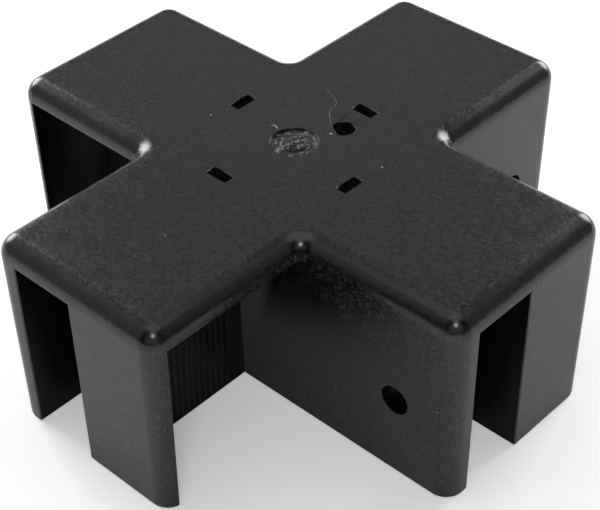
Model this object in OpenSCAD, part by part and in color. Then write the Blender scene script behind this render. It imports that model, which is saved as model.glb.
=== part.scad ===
// Four-way cross connector, moulded in one piece, that joins the edges of four boards.
// Each arm has an open board channel beside a central web. The web's end turns into a
// flange across the other half of the arm, so the walls form a pinwheel under the plate.
// +Z is up, and the origin is the middle of the open rim that the connector stands on.

/* [Arms] */
// Width of each of the four arms
arm_w = 37.5; // [34:0.5:60]
// Distance from the centre to the end of each arm
arm_reach = 50.8; // [44:0.2:90]
// Overall height, from the open rim to the top face
height = 38.5; // [30:0.5:80]

/* [Top plate] */
// Thickness of the cross-shaped plate
plate_t = 4.1; // [3.6:0.1:8]
// Radius of the plate's top edge and of all outer corners
edge_r = 3.5; // [1.5:0.1:3.5]
// Radius of the four inside corners between the arms
inside_r = 1.7; // [0.5:0.1:4]

/* [Walls] */
// Thickness of the side wall that closes each board channel
side_wall_t = 5.3; // [3:0.1:7]
// Thickness of the web along the middle of each arm
web_t = 4.8; // [3:0.1:6]
// Thickness of the flange across each arm's end
flange_t = 3.2; // [2:0.1:6]
// Distance that the outer faces lean in at the open rim
draft = 0.45; // [0.05:0.05:0.8]

/* [Board channel] */
// Width of the channel that takes a board's edge
channel_w = 12.8; // [9:0.1:14.5]

/* [Screw holes] */
// Diameter of the screw hole in each side wall
screw_d = 5.4; // [3:0.1:8]
// Distance from the arm's end to the screw hole's centre
screw_from_end = 12.2; // [8:0.1:24]
// Height of the screw hole's centre above the open rim
screw_up = 16.1; // [8:0.1:24]

/* [Plate slots] */
// Length of each slot, from the web into the channel
slot_l = 4.4; // [2:0.1:8]
// Width of each slot, along the arm
slot_w = 2.1; // [1:0.1:4]
// Distance from the centre to each slot's middle, along the arm
slot_out = 15.05; // [12:0.05:24]

/* [Gate mark] */
// Diameter of the shallow recess round the moulding gate
gate_d = 8.4; // [6:0.1:12]
// Depth of the recess below the top face
gate_depth = 0.45; // [0.2:0.05:1]
// Diameter of the cut-off gate stub in the recess
stub_d = 4.7; // [2:0.1:5.5]
// Height of the stub above the recess floor
stub_h = 0.4; // [0.1:0.05:0.8]

/* [Keyed hole] */
// Diameter of the round hole with one flat side
key_d = 4.1; // [3:0.1:5]
// Distance from the hole's centre to its flat
key_flat = 1.55; // [0.8:0.05:2]
// Distance from the web's face to the hole's centre, across the channel
key_across = 2.95; // [2.6:0.05:8]
// Distance from the neighbouring web's face to the hole's centre, along the channel
key_along = 4.35; // [2.6:0.05:8]
// Direction that the flat faces, in degrees from +X
key_turn = 245; // [0:5:360]

/* [Hidden] */
$fn = 64;
over = 1;                                   // how far a cut runs past a face
rim_to_plate = height - plate_t;
round_z = height - edge_r;                  // centre height of the top edge's rounding
half_w = arm_w / 2;
channel_y = -half_w + side_wall_t;          // inner face of the side wall, arm along +X
web_y = channel_y + channel_w;              // web face on the channel's side
web_far_y = web_y + web_t;                  // web face on the flange's side

// Places its children on all four arms. They are drawn for the arm along +X.
module on_each_arm() {
    for (turn = [0 : 90 : 270]) rotate(turn) children();
}

// Rectangle from low to high, given as [x, y] corners
module area(low, high) {
    translate(low) square(high - low);
}

// Box from low to high, given as [x, y, z] corners
module box(low, high) {
    translate(low) cube(high - low);
}

// Extrudes its 2D children by len along +X. Their x becomes Y, and their y becomes Z.
module along_x(from, len) {
    translate([from, 0, 0]) rotate([90, 0, 90]) linear_extrude(len) children();
}

// Long bar across both opposite arms, with rounded ends, all set in by inset
module bar_outline(inset) {
    end_x = arm_reach - inset;
    side_y = half_w - inset;
    corner = edge_r - inset;
    area([-end_x, -side_y + corner], [end_x, side_y - corner]);
    area([-end_x + corner, -side_y], [end_x - corner, side_y]);
    if (corner > 0)
        for (x = [-1, 1], y = [-1, 1])
            translate([x * (end_x - corner), y * (side_y - corner)]) circle(corner);
}

// Fills the inside corner between the +X and +Y arms with a concave round
module inside_corner(inset) {
    start = half_w - inset;
    fill = inside_r + inset;
    difference() {
        area([start - over, start - over], [start + fill, start + fill]);
        translate([start + fill, start + fill]) circle(fill);
    }
}

// Plan of the cross, with every edge set in by inset
module cross_outline(inset = 0) {
    bar_outline(inset);
    rotate(90) bar_outline(inset);
    on_each_arm() inside_corner(inset);
}

// Quarter disc that rounds the plate's top edge
module edge_profile() {
    intersection() {
        circle(edge_r);
        square(edge_r);
    }
}

// Rounded top edge of one arm: two long edges, the end, two corners and one inside corner
module arm_rounding() {
    start = half_w + inside_r;
    end_x = arm_reach - edge_r;
    side_y = half_w - edge_r;
    for (flip = [0, 1]) mirror([0, flip, 0]) {
        along_x(start, end_x - start) translate([side_y, 0]) edge_profile();
        translate([end_x, side_y, 0]) rotate_extrude(angle = 90) edge_profile();
    }
    translate([end_x, side_y, 0]) rotate([90, 0, 0]) linear_extrude(2 * side_y) edge_profile();
    translate([start, start, 0]) rotate(180) rotate_extrude(angle = 90)
        translate([inside_r + edge_r, 0]) mirror([1, 0]) edge_profile();
}

module plate() {
    translate([0, 0, rim_to_plate]) linear_extrude(plate_t - edge_r) cross_outline();
    translate([0, 0, round_z]) {
        linear_extrude(edge_r) cross_outline(edge_r);
        on_each_arm() arm_rounding();
    }
}

// Plan of one arm's side wall, web and flange. The side wall runs in past the inside
// corner and ends on the neighbouring arm's web. The web starts at the far face of the
// neighbouring web, so the four webs close the middle at any arm width.
module arm_walls() {
    area([web_y, -half_w], [arm_reach, channel_y]);
    area([-web_far_y, web_y], [arm_reach, web_far_y]);
    area([arm_reach - flange_t, web_y], [arm_reach, half_w]);
}

// Profile that leans in by draft from half_len under the plate to the open rim. Above
// that it is upright, so the walls end inside the plate.
module leaning_profile(half_len) {
    polygon([
        [-half_len, round_z], [half_len, round_z],
        [half_len, rim_to_plate], [half_len - draft, 0],
        [-half_len + draft, 0], [-half_len, rim_to_plate]
    ]);
}

// Bar along X that bounds one arm's walls, with its outer faces leaning in
module leaning_bar() {
    intersection() {
        along_x(-arm_reach, 2 * arm_reach) leaning_profile(half_w);
        translate([0, half_w, 0]) rotate([90, 0, 0])
            linear_extrude(arm_w) leaning_profile(arm_reach);
    }
}

module walls() {
    on_each_arm() intersection() {
        linear_extrude(round_z) intersection() {
            arm_walls();
            cross_outline();
        }
        leaning_bar();
    }
}

module plate_slot() {
    box([slot_out - slot_w / 2, web_y - slot_l, rim_to_plate - over],
        [slot_out + slot_w / 2, web_y, height + over]);
}

module screw_hole() {
    translate([arm_reach - screw_from_end, channel_y + over, screw_up])
        rotate([90, 0, 0]) cylinder(d = screw_d, h = side_wall_t + 2 * over);
}

module gate_recess() {
    translate([0, 0, height - gate_depth]) difference() {
        cylinder(d = gate_d, h = gate_depth + over);
        cylinder(d = stub_d, h = stub_h);
    }
}

// Through hole with one flat, into the inner end of the +Y arm's channel
module keyed_hole() {
    translate([-web_y + key_across, web_far_y + key_along, rim_to_plate - over])
        rotate(key_turn) intersection() {
            cylinder(d = key_d, h = plate_t + 2 * over);
            box([-key_d, -key_d, 0], [key_flat, key_d, plate_t + 2 * over]);
        }
}

module connector_body() {
    color([0.06, 0.06, 0.065]) difference() {
        union() {
            plate();
            walls();
        }
        on_each_arm() {
            plate_slot();
            screw_hole();
        }
        gate_recess();
        keyed_hole();
    }
}

connector_body();
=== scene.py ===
"""Dresses the cross connector: its moulded shell, the marks of moulding, and a plain stage."""

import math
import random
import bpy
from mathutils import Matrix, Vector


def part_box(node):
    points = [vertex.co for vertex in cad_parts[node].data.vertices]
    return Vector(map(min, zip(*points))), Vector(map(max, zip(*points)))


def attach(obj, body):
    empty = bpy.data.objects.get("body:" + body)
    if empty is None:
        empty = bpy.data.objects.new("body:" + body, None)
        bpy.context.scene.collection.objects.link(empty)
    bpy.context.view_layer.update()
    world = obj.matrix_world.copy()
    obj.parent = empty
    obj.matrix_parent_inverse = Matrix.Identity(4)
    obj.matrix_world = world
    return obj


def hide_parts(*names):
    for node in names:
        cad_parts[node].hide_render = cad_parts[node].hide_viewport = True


bl_info = {
    "name": "Cross connector",
    "version": (1, 0, 0),
    "blender": (4, 5, 0),
    "location": "3D View > Sidebar > Connector",
    "description": "Builds the dressed shell of a moulded four-way board connector",
    "category": "Add Mesh",
}

import bmesh
import bpy
from bpy.props import FloatProperty, FloatVectorProperty, IntProperty, PointerProperty
from mathutils import Matrix, Vector, noise
from mathutils.geometry import delaunay_2d_cdt

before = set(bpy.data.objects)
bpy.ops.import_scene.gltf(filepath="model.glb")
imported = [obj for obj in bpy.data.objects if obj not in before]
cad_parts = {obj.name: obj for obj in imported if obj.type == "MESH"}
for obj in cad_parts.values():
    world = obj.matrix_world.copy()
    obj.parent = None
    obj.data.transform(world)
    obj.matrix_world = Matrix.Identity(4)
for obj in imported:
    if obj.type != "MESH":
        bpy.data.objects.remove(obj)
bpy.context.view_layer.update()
CAD_LOW, CAD_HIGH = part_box("connector_body")

BODY = "root"
MM = 0.001
ARMS = range(4)
WHITE = (1.0, 1.0, 1.0, 1.0)

# The shell
SAME_PLANE = math.radians(0.2)  # faces that turn by less than this are one face
SHARP = 30  # degrees that an edge turns by before it is rounded
HOLE_SIDES = 48
KEY_STEPS = 40
RECESS_SIDES = 72
RECESS_ROOM = 0.5 * MM  # depth that the gate recess is cut below its floor, for the scar
CUT_PAST = 1.5 * MM  # how far a cut runs past a face

# Which of its faces are inner ones, and so take the darker inner plastic as painted shade
UPRIGHT = 0.9  # how squarely a side face looks out
FACE_SLACK = 0.3 * MM
PLATE_SLACK = 0.01 * MM
CORNER_STRIP = 1.0 * MM  # under the plate, at the corners between the arms
RIM_STRIP = 1.2 * MM  # of the open rim, which belongs to the outer faces

# Corners are rubbed where they face three ways at once, from none to fully
RUB_START = 0.13
RUB_RANGE = 0.04

# The gate scar
SCAR_RINGS = 52
SCAR_SPOKES = 120
SCAR_GAP = 0.02 * MM  # between the scar and the recess's side
SCAR_SKIRT = 0.9 * MM  # depth that the scar's side runs below the recess's floor

# The tool ribs, and how far they stay from what is round them
RIB_TO_CORNER = 4.0 * MM
RIB_TO_FLANGE = 0.6 * MM
RIB_TO_RIM = 1.0 * MM
RIB_TO_ENDS = 1.2 * MM  # from the rim and the plate together
RIB_SEED = 4

# The dust
PLACE_SEED = 17
SPECK_SEED = 11
ON_PLATE = 0.72  # share of the specks that lie on the plate
GATE_CLEAR = 5 * MM  # no specks are scattered this near the gate
LARGE_SPECK = 2.4

# The stage
CAMERA_AIM = (0.02134, -0.02154)  # plan place on the top that the camera looks at, in metres
SENSOR_WIDTH = 36.0
FLOOR_RADIUS = 3.0
FLOOR_GAP = 0.05 * MM  # between the floor and the rim

# Plan places of the marks on the plate, in millimetres from its middle
CURL_PATH = [(-6.5, 0.6), (-6.25, 1.1), (-5.9, 1.3), (-5.4, 1.24), (-4.9, 0.95), (-4.6, 0.55)]
NIB_PATH = [(2.8, 6.2), (3.0, 5.95), (3.25, 5.9), (3.4, 6.1)]
BURR_PATH = [(15.6, 4.6), (15.9, 4.45), (16.2, 4.2)]
SMALL_BURR_PATH = [(-16.2, -4.2), (-16.35, -3.9), (-16.4, -3.5)]
STRAND_PATH = [
    (0.5, 4.3),
    (0.45, 5.7),
    (0.62, 6.7),
    (1.0, 7.25),
    (1.35, 7.6),
    (0.7, 8.5),
    (-0.1, 9.2),
    (-1.5, 10.6),
    (-2.0, 11.9),
    (-2.25, 13.2),
    (-2.85, 13.85),
    (-3.6, 14.3),
    (-5.35, 15.0),
    (-6.85, 15.5),
]


# ---------------------------------------------------------------- sizes and colours


def length_prop(name, description, millimetres):
    """A size that is kept in metres and given here in millimetres."""
    return FloatProperty(
        name=name,
        description=description,
        default=millimetres * MM,
        min=0.0,
        precision=5,
        unit="LENGTH",
        subtype="DISTANCE",
    )


def angle_prop(name, description, degrees):
    """An angle that is kept in radians and given here in degrees."""
    return FloatProperty(
        name=name, description=description, default=math.radians(degrees), subtype="ANGLE"
    )


def share_prop(name, description, value):
    """A number from 0 to 1."""
    return FloatProperty(
        name=name, description=description, default=value, min=0.0, max=1.0, subtype="FACTOR"
    )


def power_prop(name, description, watts):
    """The power of a lamp."""
    return FloatProperty(name=name, description=description, default=watts, min=0.0, unit="POWER")


def count_prop(name, description, value, low, high):
    """A whole number."""
    return IntProperty(name=name, description=description, default=value, min=low, max=high)


def colour_prop(name, description, red, green, blue):
    """A colour in linear light."""
    return FloatVectorProperty(
        name=name,
        description=description,
        default=(red, green, blue),
        size=3,
        min=0.0,
        max=1.0,
        subtype="COLOR",
    )


class ShellSizes(bpy.types.PropertyGroup):
    """Sizes of the moulded shell. The frame gives its height and its arms' reach."""

    arm_width: length_prop("Arm width", "Width of each of the four arms", 37.5)
    plate: length_prop("Plate", "Thickness of the cross-shaped plate", 4.1)
    edge_round: length_prop("Edge round", "Radius of the top edge and of the outer corners", 3.5)
    inside_round: length_prop("Inside round", "Radius of the corners between the arms", 1.7)
    side_wall: length_prop("Side wall", "Thickness of the wall that closes a board channel", 5.3)
    web: length_prop("Web", "Thickness of the web along the middle of an arm", 4.8)
    flange: length_prop("Flange", "Thickness of the flange across an arm's end", 3.2)
    channel: length_prop("Channel", "Width of the channel that takes a board's edge", 12.8)
    draft: length_prop("Draft", "Distance that the outer faces lean in at the open rim", 0.45)
    small_round: length_prop("Small round", "Radius of the mould's small corners", 0.3)
    hole_round: length_prop("Hole round", "Radius of the edges of the holes and slots", 0.06)
    steps: count_prop("Steps", "Number of faces round a quarter turn of the large rounds", 12, 4, 32)


class HoleSizes(bpy.types.PropertyGroup):
    """Places and sizes of the slots, the screw holes, the gate recess and the keyed hole."""

    screw: length_prop("Screw hole", "Diameter of the screw holes", 5.4)
    screw_from_end: length_prop("From end", "Distance from an arm's end to its screw hole", 12.2)
    screw_up: length_prop("Up", "Height of the screw holes above the open rim", 16.1)
    slot_long: length_prop("Slot length", "Length of the plate's slots", 4.4)
    slot_wide: length_prop("Slot width", "Width of the plate's slots", 2.1)
    slot_out: length_prop("Slot place", "Distance from the centre to a slot's middle", 15.05)
    gate: length_prop("Gate recess", "Diameter of the recess round the gate", 8.4)
    gate_deep: length_prop("Gate depth", "Depth of the recess round the gate", 0.45)
    stub: length_prop("Stub", "Diameter of the torn stub in the recess", 4.7)
    key: length_prop("Keyed hole", "Diameter of the hole with one flat side", 4.1)
    key_flat: length_prop("Flat", "Distance from the keyed hole's centre to its flat", 1.55)
    key_across: length_prop("Across", "Distance from the web's face to the keyed hole", 2.95)
    key_along: length_prop("Along", "Distance from the next web's face to the keyed hole", 4.35)
    key_turn: angle_prop("Turn", "Direction that the keyed hole's flat faces", 245)


class MarkSizes(bpy.types.PropertyGroup):
    """Sizes of the fine marks that moulding left on the shell."""

    rib_pitch: length_prop("Rib pitch", "Distance between the tool's ribs on a recessed face", 1.35)
    rib_wide: length_prop("Rib width", "Width of each tool rib", 0.7)
    rib_proud: length_prop("Rib height", "Height of each tool rib above its face", 0.09)
    tear: length_prop("Tear", "Roughness of the torn stub", 0.42)
    strand: length_prop("Strand", "Thickness of the fine plastic strand on the plate", 0.15)
    speck: length_prop("Speck", "Size of the largest pale speck", 0.2)
    specks: count_prop("Specks", "Number of scattered pale specks", 34, 0, 400)


class Finish(bpy.types.PropertyGroup):
    """Colours and grain of the black plastic, its torn places and its dust."""

    plastic: colour_prop("Plastic", "Base colour of the black plastic", 0.0056, 0.0056, 0.0054)
    torn: colour_prop("Torn", "Colour of torn and whitened plastic", 0.06, 0.06, 0.058)
    dust: colour_prop("Dust", "Colour of the pale specks", 0.42, 0.41, 0.38)
    roughness: share_prop("Roughness", "Middle roughness of the moulded face", 0.26)
    grain: length_prop("Grain", "Width of one grain of the moulded texture", 0.3)
    mottle: length_prop("Mottle", "Width of the larger dull and shiny patches", 2.4)


class StageLook(bpy.types.PropertyGroup):
    """The floor, the lamps and the camera."""

    floor: colour_prop("Floor", "Colour of the plain floor", 0.93, 0.93, 0.93)
    paper_glow: share_prop("Paper glow", "How much whiter than its light the floor is seen", 0.28)
    overhead: power_prop("Overhead", "Power of the wide soft panel above", 2.5)
    mid_back: power_prop("Back", "Power of the dim soft lamp behind", 0.4)
    left_back: power_prop("Left back", "Power of the low soft lamp behind on the left", 7.4)
    right_back: power_prop("Right back", "Power of the low soft lamp behind on the right", 6.0)
    left_side: power_prop("Left side", "Power of the tall dim panel on the left", 0.62)
    right_side: power_prop("Right side", "Power of the tall dim panel on the right", 0.36)
    front: power_prop("Front", "Power of the small lamp above the camera", 1.9)
    low_front: power_prop("Low front", "Power of the dim panel under the camera", 0.8)
    turn: angle_prop("Turn", "Direction that the camera stands in, from straight in front", 43.64)
    tilt: angle_prop("Tilt", "Angle that the camera looks down at", 39.43)
    roll: angle_prop("Roll", "Angle that the camera is rolled by", 1.16)
    distance: length_prop("Distance", "Distance from the camera to its target", 249.6)
    lens: FloatProperty(
        name="Lens", description="Focal length on a 36 mm wide sensor", default=96.33, unit="CAMERA"
    )


class ConnectorSettings(bpy.types.PropertyGroup):
    """Everything that the connector's operators read."""

    shell: PointerProperty(type=ShellSizes)
    holes: PointerProperty(type=HoleSizes)
    marks: PointerProperty(type=MarkSizes)
    finish: PointerProperty(type=Finish)
    stage: PointerProperty(type=StageLook)


# ---------------------------------------------------------------- plans of the shell


class Plan:
    """Lines of the plan that several pieces share, for the arm along +X."""

    def __init__(self, sizes):
        self.sizes = sizes
        self.reach = CAD_HIGH.x
        self.height = CAD_HIGH.z
        self.half = sizes.arm_width / 2
        self.channel_y = -self.half + sizes.side_wall
        self.web_y = self.channel_y + sizes.channel
        self.web_far_y = self.web_y + sizes.web
        self.flange_x = self.reach - sizes.flange
        self.under_z = self.height - sizes.plate
        self.round_z = self.height - sizes.edge_round
        self.inside = self.half + sizes.inside_round

    def is_inner(self, place, normal):
        """True for a face under the plate that isn't one of the leaning outer faces."""
        x, y = abs(place.x), abs(place.y)
        for along, facing in ((x, normal.x), (y, normal.y)):
            to_outside = min(abs(along - self.half), abs(along - self.reach))
            if abs(facing) > UPRIGHT and to_outside < self.sizes.draft + FACE_SLACK:
                return False
        # The lower rounds at the inside corners count as inner too, so they get the painted shade.
        at_corner = min(x, y) > self.half - CORNER_STRIP and max(x, y) < self.inside
        if at_corner and normal.z < 0.5:
            return True
        depth = max(min(self.reach - x, self.half - y), min(self.half - x, self.reach - y))
        return place.z < self.under_z + PLATE_SLACK and depth > self.sizes.draft + RIM_STRIP


def arc(centre, radius, start, end, steps):
    """Points on an arc between two angles in degrees, both ends included."""
    points = []
    for step in range(steps + 1):
        angle = math.radians(start + (end - start) * step / steps)
        points.append((centre[0] + radius * math.cos(angle), centre[1] + radius * math.sin(angle)))
    return points


def quarter_turned(point, turns):
    """A plan point turned by quarter turns about the middle."""
    x, y = point
    for _ in range(turns % 4):
        x, y = -y, x
    return x, y


def on_all_arms(points):
    """Plan points of one arm, followed by the same on the other arms."""
    return [quarter_turned(point, arm) for arm in ARMS for point in points]


def tip_angle(plan, lean):
    """Angle on an outer corner's round at which the flange's inner face cuts it."""
    radius = plan.sizes.edge_round
    return math.degrees(math.acos((plan.flange_x - (plan.reach - lean - radius)) / radius))


def tip_arc(centre, radius, tip, steps):
    """Arc round the flange's outer corner. Its last face is wide enough for a small round."""
    points = arc(centre, radius, 0, tip, steps)
    return points[:-2] + points[-1:]


def plate_loop(plan, inset):
    """Outline of the cross plate with every edge set in by inset, anticlockwise."""
    sizes = plan.sizes
    radius = sizes.edge_round - inset
    corner_x = plan.reach - sizes.edge_round
    corner_y = plan.half - sizes.edge_round
    end_x = plan.reach - inset
    tip = tip_angle(plan, 0.0)
    quarter = arc((plan.inside, -plan.inside), sizes.inside_round + inset, 180, 90, sizes.steps)
    quarter += arc((corner_x, -corner_y), radius, -90, 0, sizes.steps)
    quarter += [(end_x, plan.channel_y), (end_x, plan.web_y)]
    quarter += tip_arc((corner_x, corner_y), radius, tip, sizes.steps)
    quarter += arc((corner_x, corner_y), radius, tip, 90, 2)[1:]
    return on_all_arms(quarter)


def wall_loop(plan, lean):
    """Outline of the pinwheel of walls, its outer faces leaning in by lean, anticlockwise."""
    sizes = plan.sizes
    side = plan.half - lean
    end_x = plan.reach - lean
    corner_x = end_x - sizes.edge_round
    corner_y = side - sizes.edge_round
    quarter = [(plan.web_far_y, -side), (plan.inside, -side)]
    quarter += arc((corner_x, -corner_y), sizes.edge_round, -90, 0, sizes.steps)
    quarter += [
        (end_x, plan.channel_y),
        (plan.web_far_y, plan.channel_y),
        (plan.web_far_y, plan.web_y),
        (end_x, plan.web_y),
    ]
    quarter += tip_arc((corner_x, corner_y), sizes.edge_round, tip_angle(plan, lean), sizes.steps)
    quarter += [(plan.flange_x, plan.web_far_y)]
    return on_all_arms(quarter)


def inside_loop(point, loop):
    """True where a plan point is inside a closed loop."""
    x, y = point
    inside = False
    for (ax, ay), (bx, by) in zip(loop, loop[1:] + loop[:1]):
        if (ay > y) != (by > y) and x < ax + (y - ay) * (bx - ax) / (by - ay):
            inside = not inside
    return inside


# ---------------------------------------------------------------- mesh helpers


class Skin:
    """A mesh under construction, in which equal points share one vertex."""

    def __init__(self):
        self.bm = bmesh.new()
        self.found = {}

    def vert(self, x, y, z):
        """The vertex at a place, which is made the first time."""
        key = (round(x, 7), round(y, 7), round(z, 7))
        if key not in self.found:
            self.found[key] = self.bm.verts.new((x, y, z))
        return self.found[key]

    def ring(self, loop, z):
        """The vertices over a plan loop at a height."""
        return [self.vert(x, y, z) for x, y in loop]

    def face(self, verts):
        """Adds a face, leaving out repeated corners and faces that have shrunk away."""
        corners = [v for i, v in enumerate(verts) if v is not verts[i - 1]]
        if len(corners) > 2:
            self.bm.faces.new(corners)

    def band(self, low, high):
        """Joins two rings of as many points, the first below the second."""
        for corners in between(low, high):
            self.face(corners)


def between(low, high):
    """Corners of the faces between two rings of as many points."""
    for i in range(len(low)):
        j = (i + 1) % len(low)
        yield [low[i], low[j], high[j], high[i]]


def round_angles(sides):
    """Evenly spaced angles once round."""
    return [math.tau * side / sides for side in range(sides)]


def ring_round(bm, centre, across, other, radius, sides):
    """A ring of points round a centre, in the plane of two directions."""
    ring = []
    for angle in round_angles(sides):
        outward = math.cos(angle) * across + math.sin(angle) * other
        ring.append(bm.verts.new(centre + radius * outward))
    return ring


def scene_object(name, data):
    """Puts a mesh, a lamp or a camera in the scene."""
    placed = bpy.data.objects.new(name, data)
    bpy.context.scene.collection.objects.link(placed)
    return placed


def object_from_bmesh(name, bm):
    """Puts a finished mesh in the scene as a piece, and frees it."""
    mesh = bpy.data.meshes.new(name)
    bm.to_mesh(mesh)
    bm.free()
    return scene_object(name, mesh)


def bake(piece):
    """Turns a piece's modifiers into a plain mesh and takes the modifiers away."""
    bpy.context.view_layer.update()
    depsgraph = bpy.context.evaluated_depsgraph_get()
    mesh = bpy.data.meshes.new_from_object(piece.evaluated_get(depsgraph), depsgraph=depsgraph)
    mesh.name = piece.name
    old = piece.data
    piece.modifiers.clear()
    piece.data = mesh
    bpy.data.meshes.remove(old)


def merge_flat(bm, delimit):
    """Makes one face of faces that lie in one plane."""
    bmesh.ops.dissolve_limit(
        bm, angle_limit=SAME_PLANE, verts=bm.verts[:], edges=bm.edges[:], delimit=delimit
    )


def add_values(mesh, name, kind, domain, values):
    """Gives a mesh a named value for each of its faces or points."""
    mesh.attributes.new(name, kind, domain).data.foreach_set("value", values)


def round_edges(bm, edges, radius, segments):
    """Rounds edges off by a small radius."""
    bmesh.ops.bevel(
        bm,
        geom=edges,
        offset=radius,
        offset_type="OFFSET",
        segments=segments,
        profile=0.5,
        affect="EDGES",
        clamp_overlap=False,
        loop_slide=True,
    )


def outer_edges(bm, degrees):
    """Edges that stick out and turn by more than an angle in degrees."""
    limit = math.radians(degrees)
    return [e for e in bm.edges if len(e.link_faces) == 2 and e.calc_face_angle_signed(0.0) > limit]


def smooth_all(mesh):
    """Shades every face of a mesh smooth."""
    mesh.polygons.foreach_set("use_smooth", [True] * len(mesh.polygons))


def settings():
    """The values that the operators read."""
    return bpy.context.scene.cross_connector


# ---------------------------------------------------------------- the shell's mesh


def underside(skin, plan, outline, walls):
    """Fills the plate's flat underside, all round the walls."""
    points = []
    number = {}

    def index(point):
        key = (round(point[0], 7), round(point[1], 7))
        if key not in number:
            number[key] = len(points)
            points.append(Vector(point))
        return number[key]

    edges = set()
    for loop in (outline, walls):
        numbers = [index(point) for point in loop]
        for a, b in zip(numbers, numbers[1:] + numbers[:1]):
            if a != b:
                edges.add((min(a, b), max(a, b)))
    spots, _, faces, *_ = delaunay_2d_cdt(points, sorted(edges), [], 0, 1e-9)
    for face in faces:
        middle = sum((spots[i] for i in face), Vector((0, 0))) / len(face)
        if inside_loop(middle, outline) and not inside_loop(middle, walls):
            corners = [skin.vert(spots[i].x, spots[i].y, plan.under_z) for i in face]
            skin.face(corners[::-1])


def shell_solid(plan):
    """The closed shell without its holes: a rounded cross plate on a pinwheel of walls."""
    sizes = plan.sizes
    skin = Skin()
    outline = plate_loop(plan, 0.0)
    walls = wall_loop(plan, 0.0)
    ring = skin.ring(outline, plan.under_z)
    for step in range(sizes.steps + 1):
        angle = math.radians(90 * step / sizes.steps)
        inset = sizes.edge_round * (1 - math.cos(angle))
        z = plan.round_z + sizes.edge_round * math.sin(angle)
        upper = skin.ring(plate_loop(plan, inset), z)
        skin.band(ring, upper)
        ring = upper
    skin.face(ring)
    rim = skin.ring(wall_loop(plan, sizes.draft), CAD_LOW.z)
    skin.band(rim, skin.ring(walls, plan.under_z))
    skin.face(rim[::-1])
    underside(skin, plan, outline, walls)
    merge_flat(skin.bm, set())
    return skin.bm


def prism(bm, loop, low, high):
    """A closed upright prism over a plan loop."""
    bottom = [bm.verts.new((x, y, low)) for x, y in loop]
    top = [bm.verts.new((x, y, high)) for x, y in loop]
    bm.faces.new(bottom[::-1])
    bm.faces.new(top)
    for corners in between(bottom, top):
        bm.faces.new(corners)


def round_bar(bm, start, end, radius, sides):
    """A closed round bar between two points."""
    axis = (end - start).normalized()
    across = axis.orthogonal().normalized()
    other = axis.cross(across)
    first, last = [ring_round(bm, centre, across, other, radius, sides) for centre in (start, end)]
    bm.faces.new(first[::-1])
    bm.faces.new(last)
    for corners in between(first, last):
        bm.faces.new(corners)


def keyed_loop(plan, holes):
    """Plan of the round hole with one flat side."""
    centre = (-plan.web_y + holes.key_across, plan.web_far_y + holes.key_along)
    radius = holes.key / 2
    half = math.degrees(math.acos(holes.key_flat / radius))
    turn = math.degrees(holes.key_turn)
    return arc(centre, radius, turn + half, turn + 360 - half, KEY_STEPS)


def slot_loop(plan, holes):
    """Plan of the plus-X arm's slot."""
    near = holes.slot_out - holes.slot_wide / 2
    far = holes.slot_out + holes.slot_wide / 2
    low = plan.web_y - holes.slot_long
    return [(near, low), (far, low), (far, plan.web_y), (near, plan.web_y)]


def hole_cutters(plan, holes):
    """Closed shapes that the holes, slots and the gate recess are cut with."""
    bm = bmesh.new()
    over = CUT_PAST
    for arm in ARMS:
        loop = [quarter_turned(point, arm) for point in slot_loop(plan, holes)]
        prism(bm, loop, plan.under_z - over, plan.height + over)
        out = plan.reach - holes.screw_from_end
        outer = quarter_turned((out, -plan.half - over), arm)
        inner = quarter_turned((out, plan.channel_y + over), arm)
        start = Vector((*outer, holes.screw_up))
        end = Vector((*inner, holes.screw_up))
        round_bar(bm, start, end, holes.screw / 2, HOLE_SIDES)
    recess = arc((0, 0), holes.gate / 2, 0, 360, RECESS_SIDES)[:-1]
    pocket = holes.gate_deep + RECESS_ROOM
    prism(bm, recess, plan.height - pocket, plan.height + over)
    prism(bm, keyed_loop(plan, holes), plan.under_z - over, plan.height + over)
    bmesh.ops.recalc_face_normals(bm, faces=bm.faces[:])
    return bm


def cut_holes(shell, plan, holes):
    """Cuts the holes and marks every face that a cut left."""
    cutters = object_from_bmesh("hole_cutters", hole_cutters(plan, holes))
    for mesh, value in ((shell.data, 0), (cutters.data, 1)):
        add_values(mesh, "cut", "INT", "FACE", [value] * len(mesh.polygons))
    cut = shell.modifiers.new("holes", "BOOLEAN")
    cut.operation = "DIFFERENCE"
    cut.solver = "EXACT"
    cut.object = cutters
    bake(shell)
    old = cutters.data
    bpy.data.objects.remove(cutters)
    bpy.data.meshes.remove(old)


def round_shell_edges(mesh, sizes):
    """Breaks the sharp edges: finely round the holes, and more on the shell's own corners."""
    bm = bmesh.new()
    bm.from_mesh(mesh)
    bmesh.ops.remove_doubles(bm, verts=bm.verts[:], dist=0.002 * MM)
    mark = bm.faces.layers.int["cut"]
    for face in bm.faces:
        face.material_index = face[mark]
    merge_flat(bm, {"MATERIAL"})
    holes, corners = [], []
    for edge in outer_edges(bm, SHARP):
        first, second = edge.link_faces
        (holes if first[mark] or second[mark] else corners).append(edge)
    round_edges(bm, corners, sizes.small_round, 3)
    round_edges(bm, [edge for edge in holes if edge.is_valid], sizes.hole_round, 2)
    bmesh.ops.triangulate(bm, faces=[face for face in bm.faces if len(face.verts) > 4])
    bm.to_mesh(mesh)
    bm.free()


def mark_finish(mesh):
    """Marks where drawing from the mould smoothed the sides, and where corners are rubbed."""
    drawn, rubbed = [], []
    for normal in mesh.vertex_normals:
        x, y, z = normal.vector
        drawn.append(min(1.0, math.hypot(x, y)))
        three_ways = abs(x * y) * max(0.0, z)
        rubbed.append(min(1.0, max(0.0, (three_ways - RUB_START) / RUB_RANGE)))
    add_values(mesh, "drawn_side", "FLOAT", "POINT", drawn)
    add_values(mesh, "rubbed_corner", "FLOAT", "POINT", rubbed)


# ---------------------------------------------------------------- materials


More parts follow.
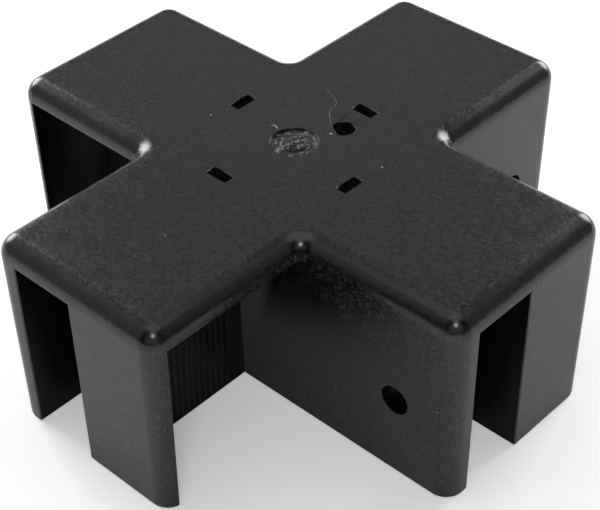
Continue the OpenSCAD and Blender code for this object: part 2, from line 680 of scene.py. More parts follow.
class Nodes:
    """Short calls for building a node tree."""

    def __init__(self, tree):
        self.tree = tree

    def add(self, kind, **values):
        """Adds a node. A value whose name is in_ and an input's name is fed to that input."""
        node = self.tree.nodes.new(kind)
        for key, value in values.items():
            if key.startswith("in_"):
                self.feed(node.inputs[key[3:].replace("_", " ")], value)
            else:
                setattr(node, key, value)
        return node

    def feed(self, target, value):
        """Links an input to another node's output, or sets it to a plain value."""
        if isinstance(value, bpy.types.NodeSocket):
            self.tree.links.new(value, target)
        else:
            target.default_value = value

    def math(self, operation, first, second, clamp=False):
        """The result of one arithmetic step on two values."""
        node = self.add("ShaderNodeMath", operation=operation, use_clamp=clamp)
        self.feed(node.inputs[0], first)
        self.feed(node.inputs[1], second)
        return node.outputs[0]

    def spread(self, value, low, high, new_low, new_high):
        """Turns the range from low to high into another, and holds a value at its ends."""
        node = self.add(
            "ShaderNodeMapRange",
            clamp=True,
            in_Value=value,
            in_From_Min=low,
            in_From_Max=high,
            in_To_Min=new_low,
            in_To_Max=new_high,
        )
        return node.outputs["Result"]

    def blend(self, factor, first, second):
        """Mixes two colours."""
        node = self.add("ShaderNodeMix", data_type="RGBA")
        for index, value in ((0, factor), (6, first), (7, second)):
            self.feed(node.inputs[index], value)
        return node.outputs[2]

    def carried(self, name):
        """A value that the mesh carries at its points."""
        return self.add("ShaderNodeAttribute", attribute_name=name).outputs["Fac"]

    def place(self):
        """The place on the object."""
        return self.add("ShaderNodeTexCoord").outputs["Object"]


def new_group(name, inputs, outputs):
    """A shader node group with named number inputs and named outputs."""
    tree = bpy.data.node_groups.new(name, "ShaderNodeTree")
    for label, default in inputs:
        socket = tree.interface.new_socket(label, in_out="INPUT", socket_type="NodeSocketFloat")
        socket.default_value = default
    for label in outputs:
        tree.interface.new_socket(label, in_out="OUTPUT", socket_type="NodeSocketFloat")
    nodes = Nodes(tree)
    return nodes, nodes.add("NodeGroupInput").outputs, nodes.add("NodeGroupOutput").inputs


def noise_at(nodes, place, width, detail, roughness, distortion=0.0):
    """Noise whose feature width is a length, in metres."""
    texture = nodes.add(
        "ShaderNodeTexNoise",
        in_Vector=place,
        in_Scale=nodes.math("DIVIDE", 1.0, width),
        in_Detail=detail,
        in_Roughness=roughness,
        in_Distortion=distortion,
    )
    return texture.outputs["Fac"]


def grain_group():
    """Fine spark-eroded grain with larger dull and shiny patches."""
    nodes, given, result = new_group(
        "moulded_grain",
        [("Grain Width", 0.3 * MM), ("Mottle Width", 2.4 * MM)],
        ["Height", "Speckle", "Mottle", "Clouds"],
    )
    place = nodes.place()
    fine = noise_at(nodes, place, given["Grain Width"], 3.0, 0.6)
    coarse = noise_at(nodes, place, nodes.math("MULTIPLY", given["Grain Width"], 2.2), 2.0, 0.5)
    height = nodes.math("ADD", nodes.math("MULTIPLY", fine, 0.6), nodes.math("MULTIPLY", coarse, 0.4))
    speckle = nodes.spread(nodes.math("ADD", fine, coarse), 0.78, 1.22, 0.0, 1.0)
    mottle = noise_at(nodes, place, given["Mottle Width"], 3.0, 0.55, 0.3)
    clouds = noise_at(nodes, place, nodes.math("MULTIPLY", given["Mottle Width"], 6.0), 2.0, 0.5)
    nodes.feed(result["Height"], height)
    nodes.feed(result["Speckle"], speckle)
    nodes.feed(result["Mottle"], mottle)
    nodes.feed(result["Clouds"], clouds)
    return nodes.tree


def scuff_group():
    """Sparse fine scratches that run every way. Their width is a share of their spacing."""
    nodes, given, result = new_group("fine_scuffs", [("Spacing", 0.014), ("Width", 0.005)], ["Mask"])
    place = nodes.place()
    bend = nodes.add("ShaderNodeTexNoise", in_Vector=place, in_Scale=90.0, in_Detail=1.0)
    bent = nodes.add("ShaderNodeVectorMath", operation="MULTIPLY_ADD")
    for socket, value in zip(bent.inputs, (bend.outputs["Color"], (0.012, 0.012, 0.012), place)):
        nodes.feed(socket, value)
    cells = nodes.add(
        "ShaderNodeTexVoronoi",
        feature="DISTANCE_TO_EDGE",
        in_Vector=bent.outputs["Vector"],
        in_Scale=nodes.math("DIVIDE", 1.0, given["Spacing"]),
    )
    line = nodes.math("LESS_THAN", cells.outputs["Distance"], given["Width"])
    patch = nodes.add("ShaderNodeTexNoise", in_Vector=place, in_Scale=160.0, in_Detail=2.0)
    kept = nodes.spread(patch.outputs["Fac"], 0.55, 0.66, 0.0, 1.0)
    nodes.feed(result["Mask"], nodes.math("MULTIPLY", line, kept))
    return nodes.tree


def grain_in(nodes, width, mottle):
    """Places the shared grain, with the widths of a grain and of a dull or shiny patch."""
    tree = bpy.data.node_groups.get("moulded_grain") or grain_group()
    node = nodes.add("ShaderNodeGroup", node_tree=tree, in_Grain_Width=width, in_Mottle_Width=mottle)
    return node.outputs


def scuffs_in(nodes, spacing, width):
    """Places the shared scuffs and gives their mask."""
    tree = bpy.data.node_groups.get("fine_scuffs") or scuff_group()
    node = nodes.add("ShaderNodeGroup", node_tree=tree, in_Spacing=spacing, in_Width=width)
    return node.outputs["Mask"]


def new_material(name):
    """A material with a bare shader, and the calls that build on it."""
    material = bpy.data.materials.new(name)
    material.use_nodes = True
    material.node_tree.nodes.clear()
    nodes = Nodes(material.node_tree)
    shader = nodes.add("ShaderNodeBsdfPrincipled")
    nodes.add("ShaderNodeOutputMaterial", in_Surface=shader.outputs["BSDF"])
    return material, nodes, shader


def rgba(values, gain=1.0):
    """A colour times a gain, with full opacity."""
    return (values[0] * gain, values[1] * gain, values[2] * gain, 1.0)


def coat(nodes, shader, base, rough, shine, height, relief):
    """Gives a shader its colour, its roughness, its shine, and a relief of a given depth."""
    nodes.feed(shader.inputs["Base Color"], base)
    nodes.feed(shader.inputs["Roughness"], rough)
    nodes.feed(shader.inputs["Specular IOR Level"], shine)
    bump = nodes.add("ShaderNodeBump", in_Height=height, in_Distance=relief)
    nodes.feed(shader.inputs["Normal"], bump.outputs["Normal"])


def plastic_material(finish):
    """Black moulded plastic: speckled grain, dull and shiny patches, and faint scuffs.

    Its upright faces were drawn along the mould, so their relief is smoother. Grey flecks are painted
    on them alone, which lightens the sides against the top: painted light. Corners that face three
    ways are rubbed a little shinier.
    """
    material, nodes, shader = new_material("black_moulded_plastic")
    grain = grain_in(nodes, finish.grain, finish.mottle)
    drawn = nodes.carried("drawn_side")
    upright = nodes.math("POWER", drawn, 12.0)

    base = nodes.blend(grain["Speckle"], rgba(finish.plastic, 0.1), rgba(finish.plastic, 2.2))
    patches = nodes.spread(grain["Mottle"], 0.3, 0.7, 0.0, 0.4)
    base = nodes.blend(patches, base, rgba(finish.plastic, 1.4))
    scuffs = nodes.math("MULTIPLY", scuffs_in(nodes, 0.014, 0.005), 0.3)
    base = nodes.blend(scuffs, base, rgba(finish.plastic, 2.5))
    # Pale flecks on the upright faces alone lift their colour above the top's: partly a fleck pattern,
    # partly painted light.
    flecks_and_side_light = nodes.math("MULTIPLY", nodes.spread(grain["Speckle"], 0.5, 1.0, 0.0, 0.65), upright)
    base = nodes.blend(flecks_and_side_light, base, rgba(finish.plastic, 8.0))

    grainy = nodes.spread(drawn, 0.0, 0.4, 1.0, 0.12)
    grainy = nodes.math("ADD", grainy, nodes.math("MULTIPLY", upright, 0.25))
    rough = nodes.spread(grain["Clouds"], 0.3, 0.7, finish.roughness - 0.02, finish.roughness + 0.02)
    rough = nodes.math("ADD", rough, nodes.spread(grain["Mottle"], 0.3, 0.7, -0.03, 0.03))
    speckle = nodes.spread(grain["Speckle"], 0.0, 1.0, -0.07, 0.07)
    rough = nodes.math("ADD", rough, nodes.math("MULTIPLY", speckle, grainy))
    rubbed = nodes.math("MULTIPLY", nodes.carried("rubbed_corner"), 0.03)
    rough = nodes.math("SUBTRACT", rough, rubbed, clamp=True)
    coat(nodes, shader, base, rough, 0.6, nodes.math("MULTIPLY", grain["Height"], grainy), 0.11 * MM)
    return material


def inner_shade_material(finish):
    """A darker, less shiny copy of the plastic for the hidden inner faces: painted shade in the
    recesses.
    """
    material, nodes, shader = new_material("inner_plastic_painted_shade")
    grain = grain_in(nodes, finish.grain, finish.mottle)
    patches = nodes.spread(grain["Mottle"], 0.3, 0.7, 0.0, 1.0)
    # The darker base and the low shine stand in for the shade in the recesses: painted shade.
    base = nodes.blend(patches, rgba(finish.plastic, 0.35), rgba(finish.plastic, 0.7))
    scuffs = nodes.math("MULTIPLY", scuffs_in(nodes, 0.02, 0.012), 0.4)
    base = nodes.blend(scuffs, base, rgba(finish.plastic, 2.0))
    rough = nodes.spread(grain["Clouds"], 0.3, 0.7, finish.roughness + 0.06, finish.roughness + 0.14)
    coat(nodes, shader, base, rough, 0.14, grain["Height"], 0.06 * MM)
    return material


def torn_material(finish):
    """Plastic torn from its gate: rough, whitened on its high points, and darkened in its pits and
    cracks as painted shade.
    """
    material, nodes, shader = new_material("torn_plastic")
    grain = grain_in(nodes, 0.2 * MM, 0.9 * MM)
    pit_shade = nodes.carried("pit_shade")
    white = nodes.spread(grain["Mottle"], 0.5, 0.68, 0.0, 1.0)
    # Pits, cracks and the groove lose their whitening and stay dark: painted shade.
    white = nodes.math("SUBTRACT", white, nodes.math("MULTIPLY", pit_shade, 1.5), clamp=True)
    base = nodes.blend(white, rgba(finish.plastic, 0.8), rgba(finish.torn, 3.4))
    rough = nodes.spread(grain["Mottle"], 0.3, 0.7, 0.36, 0.24)
    rough = nodes.math("ADD", rough, nodes.math("MULTIPLY", pit_shade, 0.5), clamp=True)
    coat(nodes, shader, base, rough, 0.55, grain["Height"], 0.08 * MM)
    return material


def mark_material(name, widths, colours, rough, shine, relief):
    """A small mark's material. It is mottled between two colours, and its grain has its own widths.

    rough names the grain's output that the roughness follows, and its ends.
    """
    material, nodes, shader = new_material(name)
    grain = grain_in(nodes, *widths)
    base = nodes.blend(nodes.spread(grain["Mottle"], 0.35, 0.65, 0.0, 1.0), *colours)
    followed, low, high = rough
    rough = nodes.spread(grain[followed], 0.3, 0.7, low, high)
    coat(nodes, shader, base, rough, shine, grain["Height"], relief)
    return material


def flash_material(finish):
    """Thin stressed flash, paler than the moulded face."""
    colours = rgba(finish.torn, 1.6), rgba(finish.torn, 5.0)
    widths = 0.2 * MM, 0.7 * MM
    return mark_material("thin_flash", widths, colours, ("Height", 0.3, 0.5), 0.5, 0.03 * MM)


def strand_material(finish):
    """A hair-thin strand of the same plastic, drawn out and a little paler."""
    colours = rgba(finish.torn, 0.7), rgba(finish.torn, 2.4)
    widths = 0.2 * MM, 1.5 * MM
    return mark_material("fine_strand", widths, colours, ("Clouds", 0.5, 0.7), 0.35, 0.01 * MM)


def dust_material(finish):
    """Pale dust and lint specks."""
    colours = rgba(finish.dust, 0.5), rgba(finish.dust, 1.3)
    widths = 0.1 * MM, 4.0 * MM
    return mark_material("pale_dust", widths, colours, ("Height", 0.8, 1.0), 0.5, 0.02 * MM)


def shared_material(name, builder):
    """A material that is built the first time it is asked for."""
    return bpy.data.materials.get(name) or builder(settings().finish)


def finish_piece(piece, material):
    """Gives a piece its body, its slot and, where it has none yet, its material."""
    if material:
        piece.data.materials.append(material)
    smooth_all(piece.data)
    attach(piece, BODY)


# ---------------------------------------------------------------- marks of moulding


def rough_noise(x, y, width, seed):
    """Noise from about -1 to 1 with finer and finer detail, for torn plastic."""
    place = Vector((x / width, y / width, seed))
    total = 0.0
    for octave in range(4):
        total += noise.noise(place * 2**octave) / 1.7**octave
    return total


def hump(value, middle, width, power=2):
    """A smooth hump that is 1 at its middle and nearly 0 well past its width."""
    return math.exp(-(((value - middle) / width) ** power))


def scar_at(plan, holes, marks, x, y):
    """Height of the gate scar, a tilted floor round a torn stub, and how deep in a pit it is, which the
    scar's colour darkens as painted shade.
    """
    radius = math.hypot(x, y)
    turned = math.degrees(math.atan2(y, x))
    edge = holes.gate / 2
    stub = holes.stub / 2
    # The floor rises to one side, with faint rings, a rough skin and a raised lip at its edge
    tilt = (0.97 * x + 0.23 * y) / edge
    floor = -0.44 * MM + 0.17 * MM * (1 + tilt)
    floor += 0.02 * MM * math.sin(radius / MM * 9) + 0.035 * MM * rough_noise(x, y, 0.8 * MM, 3.0)
    floor += 0.08 * MM * hump(radius, 0.9 * edge, 0.06 * edge) * max(0.0, tilt + 0.3)
    # The stub's top is torn, and cracked where a second noise passes through zero
    crack_width, pit_width = 0.22, 0.16
    torn = -0.14 * MM + marks.tear * 0.3 * rough_noise(x, y, 0.7 * MM, 8.0)
    crack = abs(rough_noise(x + MM, y, 1.2 * MM, 5.0))
    torn -= 0.9 * marks.tear * max(0.0, crack_width - crack) / crack_width
    blend = min(1.0, max(0.0, (stub * 1.06 - radius) / (0.16 * stub)))
    height = floor + (torn - floor) * blend
    # A groove follows the stub's foot on two sides, deeper on the near one
    sides = hump(turned, -35, 48, 4) + 0.45 * hump(turned, 150, 40, 4)
    groove = hump(radius, stub * 0.98, 0.17 * stub)
    height -= 0.5 * MM * groove * sides
    # This mask darkens the groove and the cracks in the torn plastic's colour: painted shade.
    pit_shade = min(1.0, groove * sides + blend * max(0.0, pit_width - crack) / pit_width)
    return plan.height + min(height, -0.005 * MM), pit_shade


def gate_scar_mesh(plan, holes, marks):
    """A closed disc whose upper face is the torn scar in the gate recess."""
    edge = holes.gate / 2 - SCAR_GAP
    bm = bmesh.new()
    depth = bm.verts.layers.float.new("pit_shade")

    def place(x, y):
        height, pit_shade = scar_at(plan, holes, marks, x, y)
        vert = bm.verts.new((x, y, height))
        vert[depth] = pit_shade
        return vert

    def skin(inner, outer):
        for i in range(SCAR_SPOKES):
            j = (i + 1) % SCAR_SPOKES
            bm.faces.new([inner[i], outer[i], outer[j], inner[j]])

    middle = place(0.0, 0.0)
    previous = None
    for step in range(1, SCAR_RINGS + 1):
        radius = edge * step / SCAR_RINGS
        angles = round_angles(SCAR_SPOKES)
        ring = [place(radius * math.cos(angle), radius * math.sin(angle)) for angle in angles]
        if previous:
            skin(previous, ring)
        else:
            for i in range(SCAR_SPOKES):
                bm.faces.new([middle, ring[i], ring[(i + 1) % SCAR_SPOKES]])
        previous = ring
    low = plan.height - holes.gate_deep - SCAR_SKIRT
    skirt = [bm.verts.new((v.co.x, v.co.y, low)) for v in previous]
    skin(previous, skirt)
    bm.faces.new(skirt[::-1])
    return bm


def thin_tube(bm, points, widths, sides=8):
    """A closed tube of changing width through points that lie on the plate."""
    rings = []
    for i, point in enumerate(points):
        before = points[max(0, i - 1)]
        after = points[min(len(points) - 1, i + 1)]
        along = (after - before).normalized()
        across = Vector((0, 0, 1)).cross(along).normalized()
        up = along.cross(across)
        rings.append(ring_round(bm, point, across, up, widths[i] / 2, sides))
    for low, high in zip(rings, rings[1:]):
        for corners in between(low, high):
            bm.faces.new(corners)
    bm.faces.new(rings[0][::-1])
    bm.faces.new(rings[-1])


def smooth_path(places, height, steps):
    """Points on a smooth curve through plan places given in millimetres."""
    knots = [Vector((x * MM, y * MM, height)) for x, y in places]
    knots = [2 * knots[0] - knots[1], *knots, 2 * knots[-1] - knots[-2]]
    points = []
    for a, b, c, d in zip(knots, knots[1:], knots[2:], knots[3:]):
        for step in range(steps):
            t = step / steps
            curve = 2 * b + (c - a) * t + (2 * a - 5 * b + 4 * c - d) * t**2
            points.append((curve + (3 * b - a - 3 * c + d) * t**3) / 2)
    points.append(knots[-2])
    return points


def tapered(count, width, ends):
    """Widths that swell from thin ends to the middle."""
    values = []
    for i in range(count):
        t = i / (count - 1)
        values.append(width * (ends + (1 - ends) * math.sin(math.pi * t)))
    return values


# ---------------------------------------------------------------- geometry nodes


def node_tool(name, values, **kinds):
    """A geometry node tree with a geometry in and out, and named inputs with their values."""
    tree = bpy.data.node_groups.new(name, "GeometryNodeTree")
    tree.interface.new_socket("Geometry", in_out="INPUT", socket_type="NodeSocketGeometry")
    tree.interface.new_socket("Geometry", in_out="OUTPUT", socket_type="NodeSocketGeometry")
    for label, kind in kinds.items():
        socket = tree.interface.new_socket(label, in_out="INPUT", socket_type="NodeSocket" + kind)
        socket.default_value = values[label]
    nodes = Nodes(tree)
    return nodes, nodes.add("NodeGroupInput").outputs, nodes.add("NodeGroupOutput").inputs


def apply_tool(piece, tree, values):
    """Runs a node tree on a piece with named values and keeps the result as a plain mesh."""
    modifier = piece.modifiers.new(tree.name, "NODES")
    modifier.node_group = tree
    for item in tree.interface.items_tree:
        if item.item_type == "SOCKET" and item.in_out == "INPUT" and item.name in values:
            modifier[item.identifier] = values[item.name]
    bake(piece)


def rib_tool(values):
    """Upright half-sunk ribs in a row along the recessed face of each of the four webs."""
    nodes, given, result = node_tool(
        "tool_ribs",
        values,
        Count="Int",
        Pitch="Float",
        Start="Vector",
        Width="Float",
        Proud="Float",
        Length="Float",
        Seed="Int",
        Material="Material",
    )
    step = nodes.add("ShaderNodeCombineXYZ", in_X=given["Pitch"])
    row = nodes.add(
        "GeometryNodeMeshLine",
        in_Count=given["Count"],
        in_Start_Location=given["Start"],
        in_Offset=step.outputs["Vector"],
    )
    half_width = nodes.math("MULTIPLY", given["Width"], 0.5)
    size = nodes.add("ShaderNodeCombineXYZ", in_X=half_width, in_Y=given["Proud"], in_Z=1.0)
    ring = nodes.add("GeometryNodeCurvePrimitiveCircle", in_Resolution=10, in_Radius=1.0)
    flat = nodes.add(
        "GeometryNodeTransform", in_Geometry=ring.outputs["Curve"], in_Scale=size.outputs["Vector"]
    )
    tall = nodes.add("ShaderNodeCombineXYZ", in_Z=given["Length"])
    spine = nodes.add("GeometryNodeCurvePrimitiveLine", in_End=tall.outputs["Vector"])
    rib = nodes.add(
        "GeometryNodeCurveToMesh",
        in_Curve=spine.outputs["Curve"],
        in_Profile_Curve=flat.outputs["Geometry"],
        in_Fill_Caps=True,
    )
    vary = random_vector(nodes, (0.75, 0.45, 0.9), (1.15, 1.0, 1.0), given["Seed"])
    ribs = instances(nodes, row.outputs["Mesh"], rib.outputs["Mesh"], in_Scale=vary)
    arms = nodes.add("GeometryNodeMeshLine", in_Count=len(ARMS), in_Offset=(0.0, 0.0, 0.0))
    arm = nodes.add("GeometryNodeInputIndex").outputs["Index"]
    turn = nodes.add("ShaderNodeCombineXYZ", in_Z=nodes.math("MULTIPLY", arm, math.pi / 2))
    placed = instances(nodes, arms.outputs["Mesh"], ribs, in_Rotation=turn.outputs["Vector"])
    finish_tool(nodes, given, result, placed)
    return nodes.tree


def speck_tool(values):
    """Uneven specks of dust on the given points."""
    nodes, given, result = node_tool(
        "dust_specks", values, Size="Float", Seed="Int", Material="Material"
    )
    radius = nodes.math("MULTIPLY", given["Size"], 0.5)
    speck = nodes.add("GeometryNodeMeshIcoSphere", in_Subdivisions=2, in_Radius=radius)
    vary = random_vector(nodes, (0.3, 0.3, 0.25), (1.0, 0.7, 0.5), given["Seed"])
    spin = random_vector(nodes, (0.0, 0.0, 0.0), (0.4, 0.4, math.tau), given["Seed"])
    scale = nodes.add("GeometryNodeInputNamedAttribute", data_type="FLOAT", in_Name="speck_size")
    sized = nodes.add(
        "ShaderNodeVectorMath", operation="SCALE", in_Vector=vary, in_Scale=scale.outputs["Attribute"]
    )
    size = sized.outputs["Vector"]
    shape = speck.outputs["Mesh"]
    placed = instances(nodes, given["Geometry"], shape, in_Scale=size, in_Rotation=spin)
    finish_tool(nodes, given, result, placed)
    return nodes.tree


def random_vector(nodes, low, high, seed):
    """A vector that is drawn afresh for each point."""
    node = nodes.add(
        "FunctionNodeRandomValue", data_type="FLOAT_VECTOR", in_Min=low, in_Max=high, in_Seed=seed
    )
    return node.outputs["Value"]


def instances(nodes, points, shape, **values):
    """A shape on every point."""
    node = nodes.add("GeometryNodeInstanceOnPoints", in_Points=points, in_Instance=shape, **values)
    return node.outputs["Instances"]


def finish_tool(nodes, given, result, placed):
    """Ends a tree: real geometry with its material."""
    real = nodes.add("GeometryNodeRealizeInstances", in_Geometry=placed)
    coated = nodes.add(
        "GeometryNodeSetMaterial", in_Geometry=real.outputs["Geometry"], in_Material=given["Material"]
    )
    nodes.feed(result["Geometry"], coated.outputs["Geometry"])


# ---------------------------------------------------------------- operators


class CONNECTOR_OT_shell(bpy.types.Operator):
    """Build the moulded shell with its plate, walls, slots and holes"""

    bl_idname = "connector.shell"
    bl_label = "Moulded shell"

    def execute(self, context):
        sizes = settings().shell
        plan = Plan(sizes)
        shell = object_from_bmesh("moulded_shell", shell_solid(plan))
        cut_holes(shell, plan, settings().holes)
        round_shell_edges(shell.data, sizes)
        mark_finish(shell.data)
        smooth_all(shell.data)
        normals = shell.modifiers.new("flat_faces_first", "WEIGHTED_NORMAL")
        normals.mode = "FACE_AREA"
        normals.weight = 100
        bake(shell)
        shell.data.materials.clear()
        finish_piece(shell, shared_material("black_moulded_plastic", plastic_material))
        # Faces in the recesses and at the inside corners get the darker, duller inner plastic: painted
        # shade.
        shell.data.materials.append(shared_material("inner_plastic_painted_shade", inner_shade_material))
        for face in shell.data.polygons:
            face.material_index = int(plan.is_inner(face.center, face.normal))
        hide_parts("connector_body")
        return {"FINISHED"}


class CONNECTOR_OT_gate_scar(bpy.types.Operator):
    """Build the torn scar that the moulding gate left in its recess"""

    bl_idname = "connector.gate_scar"
    bl_label = "Gate scar"

    def execute(self, context):
        values = settings()
        plan = Plan(values.shell)
        scar = object_from_bmesh("gate_scar", gate_scar_mesh(plan, values.holes, values.marks))
        finish_piece(scar, shared_material("torn_plastic", torn_material))
        return {"FINISHED"}


class CONNECTOR_OT_flash(bpy.types.Operator):
    """Build the curl, nib and burrs of thin flash, and the fine strand of plastic on the plate"""

    bl_idname = "connector.flash"
    bl_label = "Flash and strand"

    def execute(self, context):
        values = settings()
        top = CAD_HIGH.z
        strand_width = values.marks.strand
        bm = bmesh.new()
        # Path, width, how thick the ends are, and how deep it is sunk in the plate
        for places, width, ends, sunk in (
            (CURL_PATH, 2.4 * strand_width, 0.25, 0.5),
            (NIB_PATH, 4.2 * strand_width, 0.6, 0.64),
            (BURR_PATH, 2.4 * strand_width, 0.5, 0.55),
            (SMALL_BURR_PATH, 1.8 * strand_width, 0.4, 0.5),
        ):
            points = smooth_path(places, top - sunk * width / 2, 6)
            thin_tube(bm, points, tapered(len(points), width, ends))
        flash = object_from_bmesh("flash_curls", bm)
        finish_piece(flash, shared_material("thin_flash", flash_material))
        bm = bmesh.new()
        points = smooth_path(STRAND_PATH, top - 0.05 * strand_width, 8)
        thin_tube(bm, points, tapered(len(points), strand_width, 0.8), sides=6)
        strand = object_from_bmesh("fine_strand", bm)
        finish_piece(strand, shared_material("fine_strand", strand_material))
        return {"FINISHED"}


class CONNECTOR_OT_tool_ribs(bpy.types.Operator):
    """Build the fine upright ribs that the mould's cutter left on the recessed faces"""

    bl_idname = "connector.tool_ribs"
    bl_label = "Tool ribs"

    def execute(self, context):
        values = settings()
        plan = Plan(values.shell)
        marks = values.marks
        first = plan.half + RIB_TO_CORNER
        room = plan.flange_x - RIB_TO_FLANGE - first
        inputs = {
            "Count": int(room / marks.rib_pitch) + 1,
            "Pitch": marks.rib_pitch,
            "Start": (first, plan.web_far_y, RIB_TO_RIM),
            "Width": marks.rib_wide,
            "Proud": marks.rib_proud,
            "Length": plan.under_z - RIB_TO_ENDS,
            "Seed": RIB_SEED,
            # The ribs take the darker inner plastic as well: painted shade, like the recess round them.
            "Material": shared_material("inner_plastic_painted_shade", inner_shade_material),
        }
        ribs = scene_object("tool_ribs", bpy.data.meshes.new("tool_ribs"))
        apply_tool(ribs, rib_tool(inputs), inputs)
        finish_piece(ribs, None)
        return {"FINISHED"}


class CONNECTOR_OT_dust(bpy.types.Operator):
    """Scatter a few pale specks of dust on the shell"""

    bl_idname = "connector.dust"
    bl_label = "Dust specks"

    def execute(self, context):
        values = settings()
        plan = Plan(values.shell)
        places, sizes = speck_places(plan, values.marks.specks)
        mesh = bpy.data.meshes.new("dust_specks")
        mesh.from_pydata(places, [], [])
        add_values(mesh, "speck_size", "FLOAT", "POINT", sizes)
        inputs = {
            "Size": values.marks.speck,
            "Seed": SPECK_SEED,
            "Material": shared_material("pale_dust", dust_material),
        }
        dust = scene_object("dust_specks", mesh)
        apply_tool(dust, speck_tool(inputs), inputs)
        finish_piece(dust, None)
        return {"FINISHED"}


def speck_places(plan, count):
    """Places on the plate and on the walls' outer faces, and how large each speck is.

    Two large specks have places of their own. The others are scattered.
    """
    draw = random.Random(PLACE_SEED)
    places = [
        (2.2 * MM, -32.2 * MM, plan.height),
        (plan.reach - 3.3 * MM, -plan.half, 19.5 * MM),
    ]
    sizes = [LARGE_SPECK] * len(places)
    count += len(places)
    while len(places) < count:
        arm = draw.choice(ARMS)
        out = draw.uniform(-0.3, 0.95) * plan.reach
        if draw.random() < ON_PLATE:
            side = draw.uniform(-0.85, 0.85) * plan.half
            x, y = quarter_turned((out, side), arm)
            if math.hypot(x, y) < GATE_CLEAR:
                continue
            places.append((x, y, plan.height))
        else:
            z = draw.uniform(0.2, 0.8) * plan.under_z
            lean = plan.sizes.draft * (1 - z / plan.under_z)
            x, y = quarter_turned((abs(out) * 0.45 + 0.5 * plan.reach, -plan.half + lean), arm)
            places.append((x, y, z))
        sizes.append(draw.uniform(0.15, 0.4))
    return places, sizes


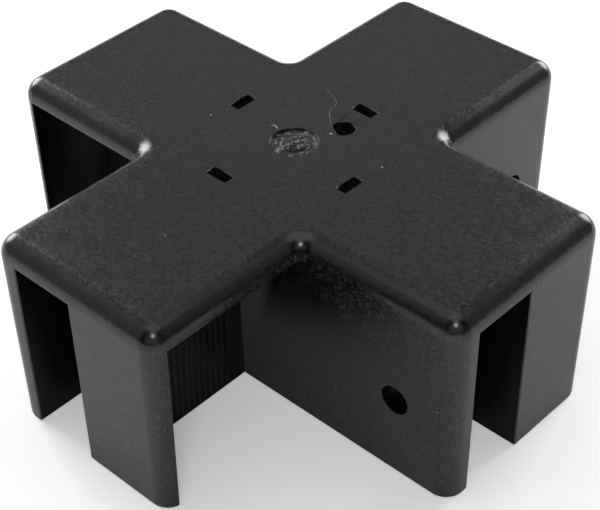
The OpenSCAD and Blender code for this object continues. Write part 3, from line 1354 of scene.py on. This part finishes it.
class CONNECTOR_OT_stage(bpy.types.Operator):
    """Set out the plain floor, the soft lamps and the camera"""

    bl_idname = "connector.stage"
    bl_label = "Stage"

    def execute(self, context):
        look = settings().stage
        self.floor(look)
        self.backdrop()
        self.lamps(look)
        self.camera(context.scene, look)
        return {"FINISHED"}

    def floor(self, look):
        """A disc just under the rim, which can be looked through from below."""
        bm = bmesh.new()
        bmesh.ops.create_circle(bm, cap_ends=True, radius=FLOOR_RADIUS, segments=64)
        bmesh.ops.translate(bm, vec=(0.0, 0.0, -FLOOR_GAP), verts=bm.verts)
        floor = object_from_bmesh("plain_floor", bm)
        material, nodes, shader = new_material("floor_paper")
        fibres = nodes.add("ShaderNodeTexNoise", in_Vector=nodes.place(), in_Scale=600.0, in_Detail=3.0)
        base = nodes.blend(fibres.outputs["Fac"], rgba(look.floor, 0.995), rgba(look.floor, 1.005))
        seen = nodes.add("ShaderNodeLightPath").outputs["Is Camera Ray"]
        for label, value in (
            ("Base Color", base),
            ("Roughness", 1.0),
            ("Specular IOR Level", 0.0),
            ("Emission Color", WHITE),
            ("Emission Strength", nodes.math("MULTIPLY", seen, look.paper_glow)),
        ):
            nodes.feed(shader.inputs[label], value)
        clear = nodes.add("ShaderNodeBsdfTransparent")
        facing = nodes.add("ShaderNodeNewGeometry")
        mixed = nodes.add("ShaderNodeMixShader", in_Fac=facing.outputs["Backfacing"])
        nodes.feed(mixed.inputs[1], shader.outputs["BSDF"])
        nodes.feed(mixed.inputs[2], clear.outputs["BSDF"])
        output = material.node_tree.get_output_node("ALL")
        nodes.feed(output.inputs["Surface"], mixed.outputs["Shader"])
        floor.data.materials.append(material)

    def backdrop(self):
        """White for the camera alone, so the light on the connector comes from the lamps."""
        world = bpy.data.worlds.new("white_backdrop")
        world.use_nodes = True
        nodes = Nodes(world.node_tree)
        background = world.node_tree.nodes["Background"]
        nodes.feed(background.inputs["Color"], WHITE)
        seen = nodes.add("ShaderNodeLightPath").outputs["Is Camera Ray"]
        nodes.feed(background.inputs["Strength"], seen)
        bpy.context.scene.world = world

    def lamps(self, look):
        """Soft lamps that all face the connector, placed by their turn from the camera's side."""
        # Name, power, turn and tilt in degrees, and distance, width and height in metres
        for name, power, turn, tilt, distance, wide, tall in (
            ("overhead_panel", look.overhead, 0, 90, 0.9, 0.9, 0.9),
            ("back_lamp", look.mid_back, 180, 32, 0.9, 0.5, 0.5),
            ("left_back_lamp", look.left_back, -135, 22, 0.9, 0.5, 0.5),
            ("right_back_lamp", look.right_back, 135, 22, 0.9, 0.5, 0.5),
            ("left_side_panel", look.left_side, -90, 31, 0.9, 0.5, 1.05),
            ("right_side_panel", look.right_side, 90, 31, 0.9, 0.5, 1.05),
            ("front_lamp", look.front, 0, 47, 1.0, 0.24, 0.24),
            ("low_front_panel", look.low_front, 0, 25, 0.9, 1.2, 0.6),
        ):
            light = bpy.data.lights.new(name, "AREA")
            light.shape = "RECTANGLE"
            light.size = wide
            light.size_y = tall
            light.energy = power
            lamp = scene_object(name, light)
            towards = direction(look.turn + math.radians(turn), math.radians(tilt))
            lamp.location = (CAD_LOW + CAD_HIGH) / 2 + towards * distance
            lamp.rotation_euler = towards.to_track_quat("Z", "Y").to_euler()

    def camera(self, scene, look):
        """A camera that looks down on the connector, at a place on its top."""
        back = direction(look.turn, look.tilt)
        level = Vector((math.cos(look.turn), math.sin(look.turn), 0.0))
        down = level.cross(back)
        right = math.cos(look.roll) * level + math.sin(look.roll) * down
        up = math.sin(look.roll) * level - math.cos(look.roll) * down
        target = Vector((*CAMERA_AIM, CAD_HIGH.z))
        camera_data = bpy.data.cameras.new("camera")
        camera_data.lens = look.lens
        camera_data.sensor_width = SENSOR_WIDTH
        camera_data.sensor_fit = "HORIZONTAL"
        camera_data.clip_start = 0.005
        camera = scene_object("camera", camera_data)
        axes = Matrix((right, up, back)).transposed().to_4x4()
        camera.matrix_world = Matrix.Translation(target + back * look.distance) @ axes
        scene.camera = camera
        scene.view_settings.view_transform = "Standard"


def direction(turn, tilt):
    """Direction from the object, turned from straight in front and tilted up."""
    return Vector((math.sin(turn) * math.cos(tilt), -math.cos(turn) * math.cos(tilt), math.sin(tilt)))


OPERATORS = (
    CONNECTOR_OT_shell,
    CONNECTOR_OT_gate_scar,
    CONNECTOR_OT_flash,
    CONNECTOR_OT_tool_ribs,
    CONNECTOR_OT_dust,
    CONNECTOR_OT_stage,
)


class CONNECTOR_PT_panel(bpy.types.Panel):
    """Lists the connector's pieces"""

    bl_idname = "CONNECTOR_PT_panel"
    bl_label = "Cross connector"
    bl_space_type = "VIEW_3D"
    bl_region_type = "UI"
    bl_category = "Connector"

    def draw(self, context):
        for operator in OPERATORS:
            self.layout.operator(operator.bl_idname)
        for name in ("shell", "holes", "marks", "finish", "stage"):
            group = getattr(context.scene.cross_connector, name)
            box = self.layout.box()
            box.label(text=name.title())
            for key in group.__annotations__:
                box.prop(group, key)


CLASSES = (
    ShellSizes,
    HoleSizes,
    MarkSizes,
    Finish,
    StageLook,
    ConnectorSettings,
    *OPERATORS,
    CONNECTOR_PT_panel,
)


def register():
    for entry in CLASSES:
        bpy.utils.register_class(entry)
    bpy.types.Scene.cross_connector = PointerProperty(type=ConnectorSettings)


def unregister():
    del bpy.types.Scene.cross_connector
    for entry in reversed(CLASSES):
        bpy.utils.unregister_class(entry)


def main():
    register()
    for operator in OPERATORS:
        group, name = operator.bl_idname.split(".")
        getattr(getattr(bpy.ops, group), name)()


if __name__ == "__main__":
    main()
